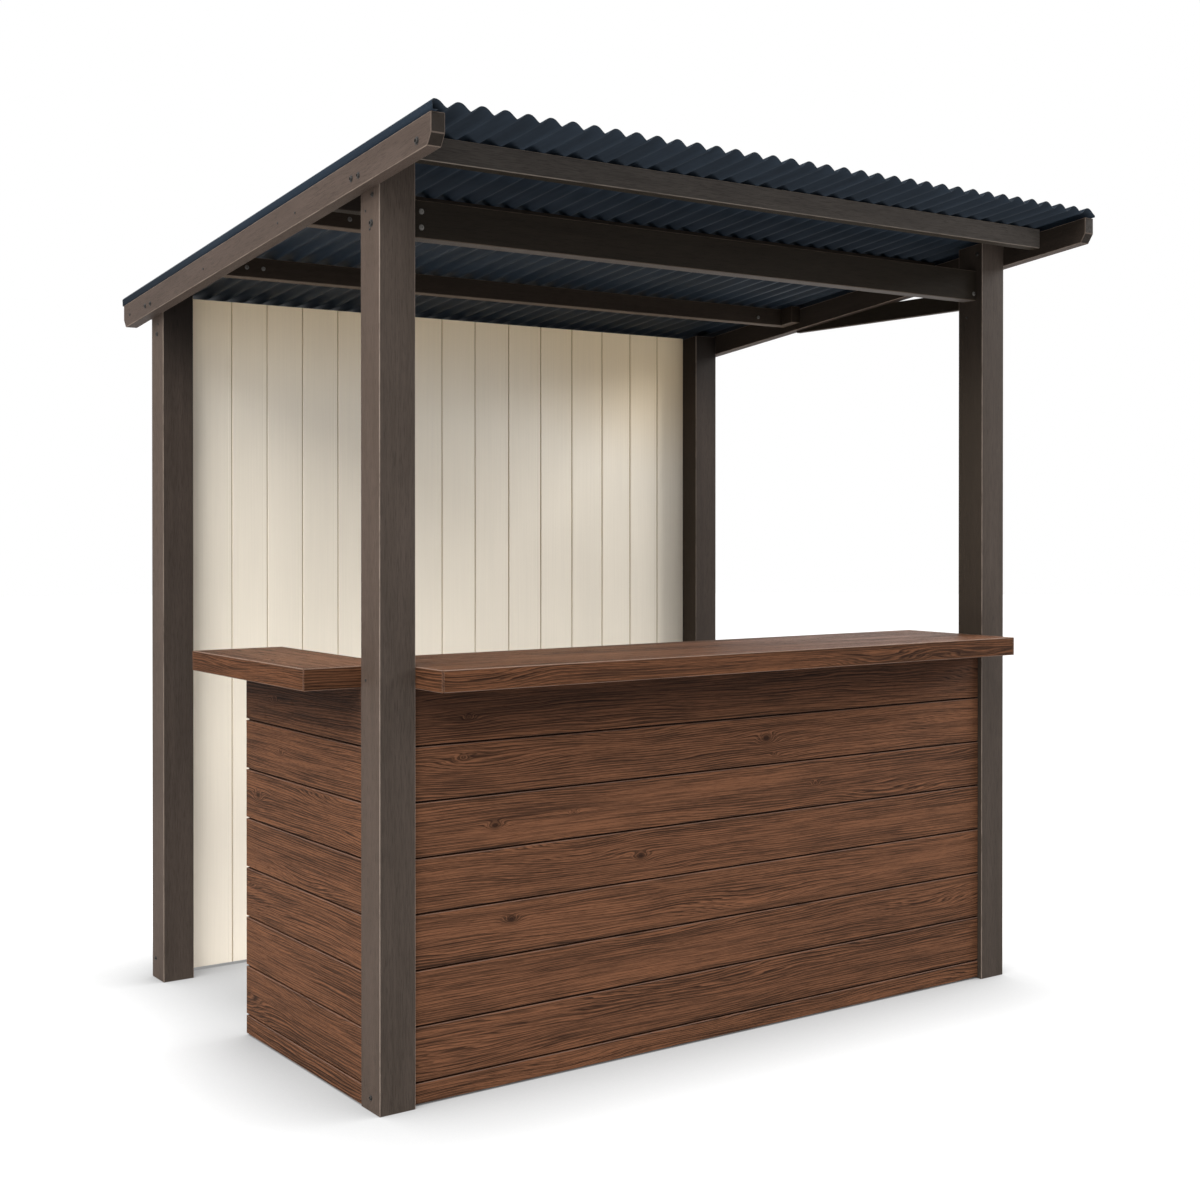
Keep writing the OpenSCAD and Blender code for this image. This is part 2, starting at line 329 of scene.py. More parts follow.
def walnut(name, tint, knots=(), figure=1.0, sides=1.0, gloss=0.08):
    """Oiled walnut: fine growth lines that sway, rise to flames and ring the knots.

    A knot is its place along the boards, its height, its half width, and
    whether it is on the boards at the side. `figure` is the strength of the
    grain. `sides` under 1 makes it the wood of a counter top, polished on its
    upper face, and says how dark its upright faces are beside that, as painted
    shade; such a top also gets a painted sheen and colour level set by place.
    """
    f = Finish(name, tint, Roughness=0.55, Specular_IOR_Level=gloss)
    place = f.carried("grain")
    spot = f.spot()
    lift, eye = knotted(spot, knots)
    line, thin = growth_lines(f, place, lift)
    fibre = f.speckle(place, (6.0, 200.0, 200.0), 4.0, 0.65)
    pushed = place + f.node("CombineXYZ", {}, 0.0, lift, 0.0)
    streak = f.speckle(pushed, (1.2, 52.0, 52.0), 4.0, 0.66)
    cloud = f.speckle(place, (0.9, 8.0, 8.0), 2.0)
    strength = f.speckle(place, (1.1, 13.0, 13.0), 2.0).clipped(0.25, 0.75)
    tone = (
        line * (strength * -0.3 - 0.06) - thin * 0.24 + fibre * 0.95 + streak * 0.65
        + cloud * 0.2 - 0.2
    )
    up = f.facing()[2].clipped(0.5, 0.9)
    if sides < 1.0:
        bands = f.speckle(place, (0.8, 17.0, 17.0), 3.0, 0.6)
        tone = tone + (bands - 0.5) * up * 0.45
        tone = (tone - 0.5) * (up * 0.3 + 0.7) + 0.5
    tone = (tone - 0.5) * figure + 0.5
    stops = []
    for at, power in WALNUT_TONES:
        warm = 1.0 + 0.05 * (power - 1.0)
        stops.append((at, scaled(tint, power * warm, power, power / warm)))
    colour = f.node("ValToRGB", {"stops": stops}, tone)
    if knots:
        halo = eye.clipped(0.05, 0.5)
        colour = f.mixed(colour, scaled(tint, 0.5), halo * (0.3 + line * 0.3))
        colour = f.mixed(colour, scaled(tint, 0.2), eye.clipped(0.5, 0.95) * 0.9)
    pores = (0.5 - f.speckle(place, (34.0, 820.0, 820.0), 2.0, 0.5)).clipped(0.03, 0.17)
    colour = f.mixed(colour, scaled(tint, 0.35), pores * 0.42)
    rub = f.speckle(place, (10.0, 50.0, 50.0), 4.0, 0.7)
    wear = f.carried("worn", 2)
    rubbed = wear.clipped() * (rub * 1.2).clipped(0.2, 0.6)
    pale = (tint[0] * 1.9 + 0.02, tint[1] * 2.2 + 0.03, tint[2] * 2.4 + 0.04)
    colour = f.mixed(colour, pale, rubbed * 0.8)
    # dirt and painted shade: the sides in the board joints go nearly black
    colour = f.mixed(colour, GRIME_AND_SHADE, (-wear).clipped() * 0.9)
    if sides < 1.0:
        # painted sheen and shade: the upright faces are darker, and the top face's colour
        # level and gloss are set by place, highest towards the front top's right end
        front_top = spot[0].clipped(-1.1, -0.9)
        far_end = spot[0].clipped(0.1, 0.6)
        colour = f.mixed(colour, (sides,) * 3, 1.0 - up, "MULTIPLY")
        colour = f.mixed(colour, RUBBED_WALNUT, rubbed * (up * 0.8 + 0.15))
        colour = colour * f.level((far_end * 0.19 - front_top * 0.05 - 0.11) * up + 0.95)
        polish_and_sheen = far_end * 0.2 - front_top * 0.09 + 0.19
        f.skin.inputs["Coat Roughness"].default_value = 0.36
        f.put(Coat_Weight=up * tone.clipped(0.2, 0.9) * polish_and_sheen)
    else:
        # painted shade: the boards darken towards their top, under the counter top's overhang
        painted_shade = spot[2].clipped(0.87, 1.01)
        colour = f.mixed(colour, (0.42, 0.43, 0.46), painted_shade, "MULTIPLY")
    rough = 0.46 + fibre * 0.16 + pores * 0.2 + rubbed * 0.1 + (1.0 - up) * 0.2
    f.put(Base_Color=colour, Roughness=rough)
    return f.raised(fibre * 0.4 - line * 0.2 - pores * 0.5, 0.0004).material


def cream(name, tint):
    """Satin paint on planed boards, brushed on along the boards."""
    f = Finish(name, tint, Roughness=0.55, Specular_IOR_Level=0.25)
    place = f.carried("grain")
    right, _, height = f.spot()
    brush = f.speckle(place, (2.5, 190.0, 190.0), 4.0, 0.6)
    cloud = f.speckle(place, (1.1, 6.0, 6.0), 3.0)
    tone = (brush * 0.5 + cloud * 0.6).clipped(0.3, 0.8)
    colour = f.mixed(scaled(tint, 0.93), tint, tone)
    # painted shade: a warm darkening near the top of the inner face, under the roof, reaching
    # lower towards the right
    inside = (-f.facing()[1]).clipped(0.0, 0.5)
    high = (height + right.clipped(0.1, 1.1) * 0.22).clipped(1.78, 2.3) * inside
    colour = f.mixed(colour, (0.87, 0.765, 0.6), high, "MULTIPLY")
    low = (0.8 - height).clipped(0.0, 0.4)
    colour = f.mixed(colour, (0.87, 0.87, 0.88), low, "MULTIPLY")
    # dirt and painted shade: the sides in the V joints go tan, more strongly towards the
    # right and higher up
    grime_and_shade = scaled(tint, 0.41, 0.3, 0.12)
    groove_darkness = right.clipped(-0.5, -0.3) * height.clipped(1.0, 1.5) * 0.25 + 0.75
    colour = f.mixed(colour, grime_and_shade, (-f.carried("worn", 2)).clipped() * groove_darkness)
    f.put(Base_Color=colour, Roughness=0.42 + brush * 0.16)
    return f.raised(brush, 0.0003).material


def painted_sheet(name, tint):
    """Dark satin paint on rolled steel, a little dusty and scratched."""
    f = Finish(name, tint, Metallic=0.0, Roughness=0.5, Specular_IOR_Level=0.09)
    place = f.carried("grain")
    dust = f.speckle(place, (2.2, 9.0, 9.0), 5.0, 0.6)
    runs = f.speckle(place, (0.7, 60.0, 60.0), 4.0, 0.6)
    peel = f.speckle(place, (240.0, 240.0, 240.0), 2.0, 0.5)
    dusty = tuple(c * 1.5 + 0.003 for c in tint)
    colour = f.mixed(tint, dusty, (dust * 0.6 + runs * 0.5).clipped(0.35, 0.85))
    edge = f.carried("worn", 2)
    colour = f.mixed(colour, scaled(tint, 0.4), edge.clipped() * 0.9)
    matt = (-edge).clipped() * 0.45
    f.put(Base_Color=colour, Roughness=0.34 + dust * 0.22 + runs * 0.08 + matt)
    return f.raised(peel, 0.0001).material


def zinc(name, tint):
    """Dull zinc on bolts, screws and washers, with soot and painted shade in the sockets and
    on the washers, and dark screw heads.
    """
    f = Finish(name, tint, Metallic=0.4, Roughness=0.5)
    place = f.carried("grain")
    bloom = f.speckle(place, (160.0, 160.0, 160.0), 4.0, 0.6)
    colour = f.mixed(scaled(tint, 0.55), tint, bloom.clipped(0.3, 0.75))
    # soot and painted shade on the marked bands: the washers, the sockets and the screw heads
    colour = f.mixed(colour, SOOT_AND_SHADE, f.carried("worn", 2) * 0.9)
    f.put(Base_Color=colour, Roughness=0.32 + bloom * 0.3)
    return f.raised(bloom, 0.0002).material


# front faces multiplied darker and inward faces given a darker colour, as painted shade
POST_STAIN = stained(
    "post_stain",
    light=(0.094, 0.0675, 0.0535), dark=(0.065, 0.0465, 0.0355), worn=(0.22, 0.175, 0.145),
    indoors=(0.042, 0.033, 0.025), front=(0.74, 0.79, 0.82),
)
# a shaded copy of the post stain: its front faces, the band under the roof and its inward
# faces are painted darker as shade
REAR_SHADE_STAIN = stained(
    "rear_post_shade_stain",
    light=(0.1, 0.072, 0.057), dark=(0.068, 0.049, 0.038), worn=(0.2, 0.16, 0.13),
    indoors=(0.032, 0.024, 0.017), front=(0.65, 0.68, 0.7), roof_shade=0.3,
)
# front faces multiplied darker and inward faces given a darker colour, as painted shade
RAFTER_STAIN = stained(
    "rafter_stain",
    light=(0.089, 0.065, 0.053), dark=(0.061, 0.044, 0.035), worn=(0.2, 0.155, 0.125),
    indoors=(0.05, 0.038, 0.028), front=(0.8, 0.84, 0.86),
)
# painted shade: the hidden purlin is stained nearly black all over, to read as shade under
# the roof
SECOND_SHADE_STAIN = stained(
    "second_shade_stain",
    light=(0.025, 0.019, 0.015), dark=(0.016, 0.012, 0.009), worn=(0.03, 0.023, 0.018),
)
# a dark stain made nearly black as painted shade under the roof; the undersides keep a
# lighter colour
BEAM_SHADE_STAIN = stained(
    "beam_shade_stain",
    light=(0.0175, 0.0135, 0.0098), dark=(0.0105, 0.008, 0.0056), worn=(0.07, 0.053, 0.04),
    under=(0.08, 0.068, 0.06), drift=0.12, sheen=0.05,
)
# a dark stain made nearly black as painted shade under the roof; the undersides keep a
# lighter colour
PURLIN_SHADE_STAIN = stained(
    "purlin_shade_stain",
    light=(0.028, 0.02, 0.0145), dark=(0.017, 0.012, 0.0085), worn=(0.07, 0.053, 0.04),
    under=(0.095, 0.071, 0.054), sheen=0.05,
)
# painted shade: the undersides are darker than the faces
EAVE_STAIN = stained(
    "eave_stain",
    light=(0.085, 0.0745, 0.066), dark=(0.057, 0.05, 0.045), worn=(0.16, 0.135, 0.115),
    under=(0.022, 0.017, 0.012), drift=0.3, sheen=0.05,
)
FRAME_STAIN = stained(
    "frame_stain",
    light=(0.1, 0.078, 0.063), dark=(0.055, 0.043, 0.035), worn=(0.2, 0.16, 0.13),
)

# place along the boards, height and half width
FRONT_KNOTS = (
    (0.1925, 0.835, 0.024), (0.2235, 0.787, 0.01), (0.3835, 0.688, 0.014),
    (-0.259, 0.547, 0.022), (-0.7255, 0.679, 0.018), (-0.48, 0.688, 0.011),
    (-0.6765, 0.43, 0.022), (-0.8035, 0.964, 0.012), (-0.82, 0.863, 0.011),
)
SIDE_KNOTS = ((0.03, 0.694, 0.02), (-0.12, 0.83, 0.011), (-0.08, 0.971, 0.012))
KNOTS = [(*knot, False) for knot in FRONT_KNOTS] + [(*knot, True) for knot in SIDE_KNOTS]
WALNUT = walnut("walnut_boards", (0.093, 0.0412, 0.0212), KNOTS, figure=1.7)
WALNUT_TOP = walnut(
    "walnut_top", (0.117, 0.0505, 0.0248), figure=2.15, sides=0.655, gloss=0.06,
)
CREAM = cream("cream_paint", (0.965, 0.88, 0.742))
NAVY = painted_sheet("navy_sheet", (0.0122, 0.0186, 0.0275))
ZINC = zinc("dull_zinc", (0.17, 0.16, 0.145))
DARK_ZINC = zinc("dark_zinc", (0.03, 0.027, 0.024))


# ---------------------------------------------------------------- making

# for each axis that a length runs along: the two axes of its profile, and its own
AXES = {"x": (1, 2, 0), "y": (0, 2, 1), "z": (0, 1, 2)}

ARRIS = 2 * MM
# edges that turn more than this, in radians, look crisp
SHARP_ANGLE = 0.6
# how much of the wear the arrises round a board's ends take
END_WEAR = 0.4
# faces inside the kiosk, this far or farther from its middle, get painted shade
PAINTED_SHADE_FROM = 0.9


class Stock:
    """One piece of the scene, gathered from sawn, folded and turned solids."""

    def __init__(self):
        self.mesh = bmesh.new()
        self.grain = self.mesh.verts.layers.float_vector.new("grain")
        self.worn = self.mesh.faces.layers.float.new("worn")
        self.indoors = self.mesh.faces.layers.float.new("indoors")

    def take(self, part, run, worn=None, smooth=False):
        """Copies a finished solid in, with its grain running along `run`."""
        worn = worn or {}
        run = Vector(run).normalized()
        side = Vector((0, 0, 1)) if abs(run.z) < 0.7 else Vector((1, 0, 0))
        side = (side - run * side.dot(run)).normalized()
        third = run.cross(side)
        start = Vector([chance.uniform(-40, 40) for _ in range(3)])
        twin = {}
        part.normal_update()
        for v in part.verts:
            new = self.mesh.verts.new(v.co)
            new[self.grain] = Vector((v.co.dot(run), v.co.dot(side), v.co.dot(third))) + start
            twin[v] = new
        for face in part.faces:
            new = self.mesh.faces.new([twin[v] for v in face.verts])
            along = abs(face.normal.dot(run))
            new[self.worn] = worn.get(face, 0.0) * (END_WEAR if along > 0.3 else 1.0)
            end_grain = along > 0.55 and not worn.get(face)
            # inward faces far from the middle are marked for painted shade, end grain for its
            # own darker tone
            inward = -face.normal.x * face.calc_center_median().x
            painted_shade = inward > PAINTED_SHADE_FROM and abs(face.normal.x) > 0.9
            new[self.indoors] = float(end_grain or painted_shade)
            new.smooth = smooth
        part.free()

    def drawn(self, profile, axis, low, high, arris=ARRIS, run=None, keep=None,
              wear=1.0, grime_and_shade_sides=(), top=0.0):
        """A length of timber: a profile drawn out along one axis, arrises eased.

        `keep` picks the edges to ease. The list of groove sides names the profile's
        sides that lie in a groove; they get a wear of -1, which the finishes show as
        dirt with painted shade. `top` is the wear of the upper arrises, where it differs.
        """
        a, b, c = AXES[axis]
        part = bmesh.new()
        rings = []
        for at in (low, high):
            ring = []
            for p in profile:
                spot = [0.0, 0.0, 0.0]
                spot[a], spot[b], spot[c] = p[0], p[1], at
                ring.append(part.verts.new(spot))
            rings.append(ring)
        worn = {}
        for i in range(len(profile)):
            j = (i + 1) % len(profile)
            face = part.faces.new((rings[0][i], rings[0][j], rings[1][j], rings[1][i]))
            if i in grime_and_shade_sides:
                worn[face] = -1.0
        part.faces.new(rings[0][::-1])
        part.faces.new(rings[1])
        bmesh.ops.recalc_face_normals(part, faces=part.faces)
        heights = [v.co.z for v in part.verts]
        middle = (min(heights) + max(heights)) / 2
        if arris:
            edges = [e for e in part.edges if keep is None or keep(e)]
            done = bmesh.ops.bevel(
                part, geom=edges, offset=arris, segments=2, profile=0.5,
                affect="EDGES", clamp_overlap=True,
            )
            worn.update({
                face: top if top and face.calc_center_median().z > middle else wear
                for face in done["faces"]
            })
        direction = [0.0, 0.0, 0.0]
        direction[c] = 1.0
        self.take(part, run or direction, worn)

    def turned(self, at, out, outline, sides=24, spin=0.0, dark=0):
        """A round piece about an axis, from (radius, height) points.

        `dark` counts the last bands that are darkened with soot and painted shade.
        """
        part = bmesh.new()
        turn = Vector((0, 0, 1)).rotation_difference(Vector(out)).to_matrix()
        rings = []
        for radius, height in outline:
            ring = []
            for k in range(sides):
                angle = spin + 2 * math.pi * k / sides
                p = Vector((radius * math.cos(angle), radius * math.sin(angle), height))
                ring.append(part.verts.new(Vector(at) + turn @ p))
            rings.append(ring)
        bands = []
        for lower, upper in zip(rings, rings[1:]):
            bands.append([])
            for k in range(sides):
                j = (k + 1) % sides
                bands[-1].append(part.faces.new((lower[k], lower[j], upper[j], upper[k])))
        part.faces.new(rings[0][::-1])
        bands.append([part.faces.new(rings[-1])])
        bmesh.ops.recalc_face_normals(part, faces=part.faces)
        soot_and_shade_bands = bands[-1 - dark:] if dark else []
        self.take(part, out, {face: 1.0 for band in soot_and_shade_bands for face in band})

    def made(self, name, finish, slot, *nodes):
        """Turns the stock into a piece that stands for these nodes."""
        for e in self.mesh.edges:
            if len(e.link_faces) == 2 and e.calc_face_angle(0.0) > SHARP_ANGLE:
                e.smooth = False
        data = bpy.data.meshes.new(name)
        self.mesh.to_mesh(data)
        self.mesh.free()
        piece = bpy.data.objects.new(name, data)
        bpy.context.scene.collection.objects.link(piece)
        data.materials.append(finish)
        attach(piece, "root")
        if nodes:
            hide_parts(*nodes)


def ring_of(points, a, b):
    """The outline of a drawn-out solid, seen along its third axis."""
    flat = {(round(p[a], 5), round(p[b], 5)) for p in points}
    mid = [sum(p[k] for p in flat) / len(flat) for k in (0, 1)]
    return sorted(flat, key=lambda p: math.atan2(p[1] - mid[1], p[0] - mid[0]))


def outline_of(node, axis):
    """The profile of a drawn-out node and its two ends, read from its corners."""
    a, b, c = AXES[axis]
    low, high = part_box(node)
    corners = [v.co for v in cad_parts[node].data.vertices]
    end = [p for p in corners if abs(p[c] - low[c]) < NEAR]
    return ring_of(end, a, b), low[c], high[c]


def timber(node, axis, finish, slot, run=None):
    """A planed timber in the place of a drawn-out node."""
    ring, low, high = outline_of(node, axis)
    stock = Stock()
    stock.drawn(ring, axis, low, high, run=run)
    stock.made(node + "_timber", finish, slot, node)


# ---------------------------------------------------------------- frame

for post in ("post_front_left", "post_front_right", "post_back_left", "post_back_right"):
    stain = REAR_SHADE_STAIN if "back" in post else POST_STAIN
    timber(post, "x", stain, "stained_timber", run=(0, 0, 1))

edge_ring = outline_of("roof_edge_left", "x")[0]
front_edge = [p for p in edge_ring if p[0] < 0]
back_edge = [p for p in edge_ring if p[0] > 0]
eave_low = Vector((0, *min(front_edge, key=lambda p: p[1])))
eave_top = Vector((0, *max(front_edge, key=lambda p: p[1])))
rear_top = Vector((0, *max(back_edge, key=lambda p: p[1])))
roof_run = (rear_top - eave_top).normalized()
roof_up = Vector((1, 0, 0)).cross(roof_run)

for rafter in ("rafter_left", "rafter_right"):
    timber(rafter, "x", RAFTER_STAIN, "stained_timber", run=roof_run)
timber("purlin_front", "x", EAVE_STAIN, "stained_timber")
timber("purlin_second", "x", SECOND_SHADE_STAIN, "stained_timber")
for purlin in ("purlin_upper", "purlin_lower", "purlin_back", "purlin_block"):
    timber(purlin, "x", PURLIN_SHADE_STAIN, "stained_timber")
timber("header_front", "x", BEAM_SHADE_STAIN, "stained_timber")

# the tie's outer layer runs back under the rafter, where its top is cut on
# the slant, and its inner layer packs it out from the front post
TIE_LAYER = 20 * MM
tie_low, tie_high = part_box("side_tie_right")
post_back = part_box("post_front_right")[1].y
cut = {
    round(v.co.z, 5): v.co.y
    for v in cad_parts["side_tie_right"].data.vertices
    if v.co.y > post_back
}
cut_end_z = sorted(cut)[1]
cut_start_y = cut[round(tie_high.z, 5)]
inner_x = tie_high.x - TIE_LAYER
stock = Stock()
stock.drawn([
    (tie_low.y, tie_low.z), (tie_high.y, tie_low.z), (tie_high.y, cut_end_z),
    (cut_start_y, tie_high.z), (tie_low.y, tie_high.z),
], "x", inner_x, tie_high.x, run=(0, 1, 0))
stock.drawn([
    (tie_low.y, tie_low.z), (post_back, tie_low.z),
    (post_back, tie_high.z), (tie_low.y, tie_high.z),
], "x", tie_low.x, inner_x, run=(0, 1, 0))
stock.made("side_tie_timber", BEAM_SHADE_STAIN, "stained_timber", "side_tie_right")

for rail in ("wall_rail_bottom", "wall_rail_middle", "wall_rail_top",
             "front_rail_top", "front_rail_bottom"):
    timber(rail, "x", FRAME_STAIN, "frame_timber")
for rail in ("side_rail_top", "side_rail_bottom"):
    timber(rail, "y", FRAME_STAIN, "frame_timber")


def loose_parts(node):
    """The points of each of a node's separate solids, from left to right."""
    solid = bmesh.new()
    solid.from_mesh(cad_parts[node].data)
    bmesh.ops.remove_doubles(solid, verts=solid.verts, dist=1e-6)
    left = set(solid.verts)
    groups = []
    while left:
        group, todo = set(), [left.pop()]
        while todo:
            v = todo.pop()
            group.add(v)
            for e in v.link_edges:
                other = e.other_vert(v)
                if other in left:
                    left.discard(other)
                    todo.append(other)
        groups.append([v.co.copy() for v in group])
    solid.free()
    return sorted(groups, key=lambda g: (min(p.x for p in g), min(p.y for p in g)))


for studs in ("front_studs", "side_studs"):
    stock = Stock()
    for points in loose_parts(studs):
        heights = [p.z for p in points]
        stock.drawn(ring_of(points, 0, 1), "z", min(heights), max(heights))
    stock.made(studs + "_timber", FRAME_STAIN, "frame_timber", studs)

stock = Stock()
for points in loose_parts("counter_brackets"):
    sides = [p.x for p in points]
    stock.drawn(ring_of(points, 1, 2), "x", min(sides), max(sides), run=(0, 1, 0.6))
stock.made("counter_brackets_timber", FRAME_STAIN, "frame_timber", "counter_brackets")


# ---------------------------------------------------------------- boards

BOARD = 140.1 * MM
FIRST_JOINT = 58.7 * MM
LEAST_TOP_BOARD = 0.7 * BOARD
JOINT = 5 * MM
REBATE = 9 * MM
BUTT_GAP = 0.1 * MM
BOARD_ARRIS = 1.6 * MM


def boarded(node, axis):
    """Horizontal boards with rebated edges, up to the counter's top."""
    a, _, c = AXES[axis]
    low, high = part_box(node)
    face, back = low[a], high[a]
    step = face + REBATE
    levels = [low.z]
    while FIRST_JOINT + BOARD * (len(levels) - 1) < high.z - LEAST_TOP_BOARD:
        levels.append(FIRST_JOINT + BOARD * (len(levels) - 1))
    levels.append(high.z)
    stock = Stock()
    for z0, z1 in zip(levels, levels[1:]):
        under = 0 if z0 == low.z else JOINT / 2
        over = 0 if z1 == high.z else JOINT / 2
        profile = [
            (face, z0 + under), (face, z1 - over), (step, z1 - over),
            (step, z1 - BUTT_GAP), (back, z1 - BUTT_GAP), (back, z0 + BUTT_GAP),
            (step, z0 + BUTT_GAP), (step, z0 + under),
        ]
        if not over:
            profile[2:4] = [(step, z1)]
        if not under:
            profile[-2:] = [(step, z0)]
        # the sides in the joints are darkened with dirt and painted shade
        stock.drawn(
            profile, axis, low[c], high[c], BOARD_ARRIS, wear=0.25, top=0.9,
            grime_and_shade_sides=[i for i, p in enumerate(profile) if p[0] == step or
                   profile[(i + 1) % len(profile)][0] == step],
            keep=lambda e: all(abs(v.co[a] - face) < NEAR for v in e.verts),
        )
    stock.made(node + "_set", WALNUT, "walnut_boards", node)


boarded("front_boards", "x")
boarded("side_boards", "y")

# millimetres from the wall's middle
WALL_JOINTS = (
    -860, -735, -607, -475, -339, -203, -66, 71, 214, 354, 494, 633, 765, 896,
)
WALL_GAP = 0.6 * MM
VEE = 2.6 * MM
BEAD = 15 * MM
GROOVE = 1.5 * MM
TONGUE_INSET = 7 * MM


def wall_board(x0, x1, low, high):
    """A board's section between two joints, and the sides that lie in them.

    On its inner face the board has a V at each joint and a bead beside the
    right one. Boards touch along a tongue in the middle of their thickness.
    """
    left, right, left_tongue, right_tongue = x0, x1, [], []
    inner, outer = low.y + TONGUE_INSET, high.y - TONGUE_INSET
    if x0 > low.x:
        left = x0 + WALL_GAP
        left_tongue = [(left, outer), (x0, outer), (x0, inner), (left, inner)]
    if x1 < high.x:
        right = x1 - WALL_GAP
        right_tongue = [(right, inner), (x1, inner), (x1, outer), (right, outer)]
    profile = [
        (left, high.y), *left_tongue, (left, low.y + VEE), (left + VEE, low.y),
        (right - BEAD - GROOVE, low.y), (right - BEAD, low.y + GROOVE / 3),
        (right - BEAD + GROOVE, low.y),
        (right - VEE, low.y), (right, low.y + VEE), *right_tongue, (right, high.y),
    ]
    last = len(profile) - 1
    left_sides = range(len(left_tongue) + 1)
    right_sides = range(last - 2 - len(right_tongue), last)
    return profile, (*left_sides, *right_sides)


low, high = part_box("back_wall")
middle = (low.x + high.x) / 2
joints = [low.x] + [middle + joint * MM for joint in WALL_JOINTS] + [high.x]
stock = Stock()
for x0, x1 in zip(joints, joints[1:]):
    profile, grime_and_shade_sides = wall_board(x0, x1, low, high)
    stock.drawn(profile, "z", low.z, high.z, 0, grime_and_shade_sides=grime_and_shade_sides)
stock.made("back_wall_boards", CREAM, "cream_boards", "back_wall")


# ---------------------------------------------------------------- counter tops

LIP = 5 * MM
LIP_ARRIS = 1.5 * MM
front_low, front_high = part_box("front_top")
side_low, side_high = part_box("side_top")

# both slabs have lips at their ends, and the front one reaches round to the side one
stock = Stock()
stock.drawn([
    (front_low.x + LIP, front_low.y), (front_high.x - LIP, front_low.y),
    (front_high.x - LIP, front_high.y), (side_high.x, front_high.y),
    (side_high.x, side_low.y), (front_low.x + LIP, side_low.y),
], "z", front_low.z, front_high.z, run=(1, 0, 0))
for x0, x1, y1 in (
    (front_low.x, front_low.x + LIP, side_low.y),
    (front_high.x - LIP, front_high.x, front_high.y),
):
    stock.drawn(
        [(x0, front_low.z), (x1, front_low.z), (x1, front_high.z), (x0, front_high.z)],
        "y", front_low.y, y1, LIP_ARRIS,
    )
stock.made("front_top_slab", WALNUT_TOP, "walnut_boards", "front_top")

stock = Stock()
stock.drawn([
    (side_low.x, side_low.y + LIP), (side_high.x, side_low.y + LIP),
    (side_high.x, side_high.y - LIP), (side_low.x, side_high.y - LIP),
], "z", side_low.z, side_high.z, run=(0, 1, 0))
for y0, y1 in ((side_low.y, side_low.y + LIP), (side_high.y - LIP, side_high.y)):
    stock.drawn(
        [(y0, side_low.z), (y1, side_low.z), (y1, side_high.z), (y0, side_high.z)],
        "x", side_low.x, side_high.x, LIP_ARRIS,
    )
stock.made("side_top_slab", WALNUT_TOP, "walnut_boards", "side_top")


# ---------------------------------------------------------------- roof

WAVES = 36.6                            # across the sheet
WAVE_STEPS = 20                         # straight pieces to a wave
WAVE_H = 18 * MM
WAVE_FULLNESS = 0.12                    # beside a plain cosine
FIRST_CREST = 8 * MM                    # from the sheet's left end
SHEET = 1.2 * MM                        # thickness
PROUD = 8 * MM                          # of the rafters, at the hollows
TURN_IN = 14 * MM                       # the fold under the left edge
LEFT_FOOT, RIGHT_FOOT = 1 * MM, 2 * MM  # the folds' ends over the rafters
LEFT_DROP, RIGHT_DROP = 3 * MM, 1 * MM  # from the waves to the folds' tops

edge_x0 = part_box("roof_edge_left")[0].x
edge_x1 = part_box("roof_edge_right")[1].x
sheet_low, sheet_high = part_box("roof_sheet")
pitch = (sheet_high.x - sheet_low.x) / WAVES


def wave(x):
    """Height of the sheet's underside over the rafters at x."""
    turn = 2 * math.pi * (x - sheet_low.x - FIRST_CREST) / pitch
    fuller = WAVE_FULLNESS * math.sin(turn) ** 2
    return PROUD + WAVE_H * ((1 + math.cos(turn)) / 2 + fuller)


def sheet_section():
    """Folded in under the left edge, waved, and folded down at the right edge."""
    left, right = edge_x0 + SHEET / 2, edge_x1 - SHEET / 2
    path = [
        (edge_x0 + TURN_IN, LEFT_FOOT), (left, LEFT_FOOT),
        (left, wave(sheet_low.x) - LEFT_DROP),
    ]
    for k in range(1, round(WAVES * WAVE_STEPS)):
        x = sheet_low.x + pitch * k / WAVE_STEPS
        path.append((x, wave(x) + SHEET / 2))
    return path + [(right, wave(sheet_high.x) - RIGHT_DROP), (right, RIGHT_FOOT)]


def rolled(path):
    """The sheet from eave to rear, and the wear of its faces."""
    part = bmesh.new()
    rows = []
    for start in (eave_low, rear_top - (eave_top - eave_low)):
        for offset in (-SHEET / 2, SHEET / 2):
            row = []
            for i, (x, h) in enumerate(path):
                before, after = path[max(i - 1, 0)], path[min(i + 1, len(path) - 1)]
                flow = Vector((after[0] - before[0], after[1] - before[1])).normalized()
                px, ph = x - flow.y * offset, h + flow.x * offset
                row.append(part.verts.new(start + Vector((px, 0, 0)) + roof_up * ph))
            rows.append(row)
    lower_front, upper_front, lower_back, upper_back = rows
    worn = {}
    for i in range(len(path) - 1):
        j = i + 1
        side = -1.0 if i < 2 or i > len(path) - 3 else 0.0
        for corners, wear in (
            ((lower_front[i], lower_front[j], lower_back[j], lower_back[i]), side),
            ((upper_front[i], upper_back[i], upper_back[j], upper_front[j]), side),
            ((lower_front[i], upper_front[i], upper_front[j], lower_front[j]), 1.0),
            ((upper_back[i], lower_back[i], lower_back[j], upper_back[j]), 1.0),
        ):
            worn[part.faces.new(corners)] = wear
    for i in (0, -1):
        corners = (lower_front[i], lower_back[i], upper_back[i], upper_front[i])
        worn[part.faces.new(corners)] = 1.0
    bmesh.ops.recalc_face_normals(part, faces=part.faces)
    return part, worn


stock = Stock()
sheet, worn = rolled(sheet_section())
stock.take(sheet, roof_run, worn, smooth=True)
stock.made(
    "roof_sheet_folded", NAVY, "roof_metal",
    "roof_sheet", "roof_edge_left", "roof_edge_right",
)


# ---------------------------------------------------------------- bolts

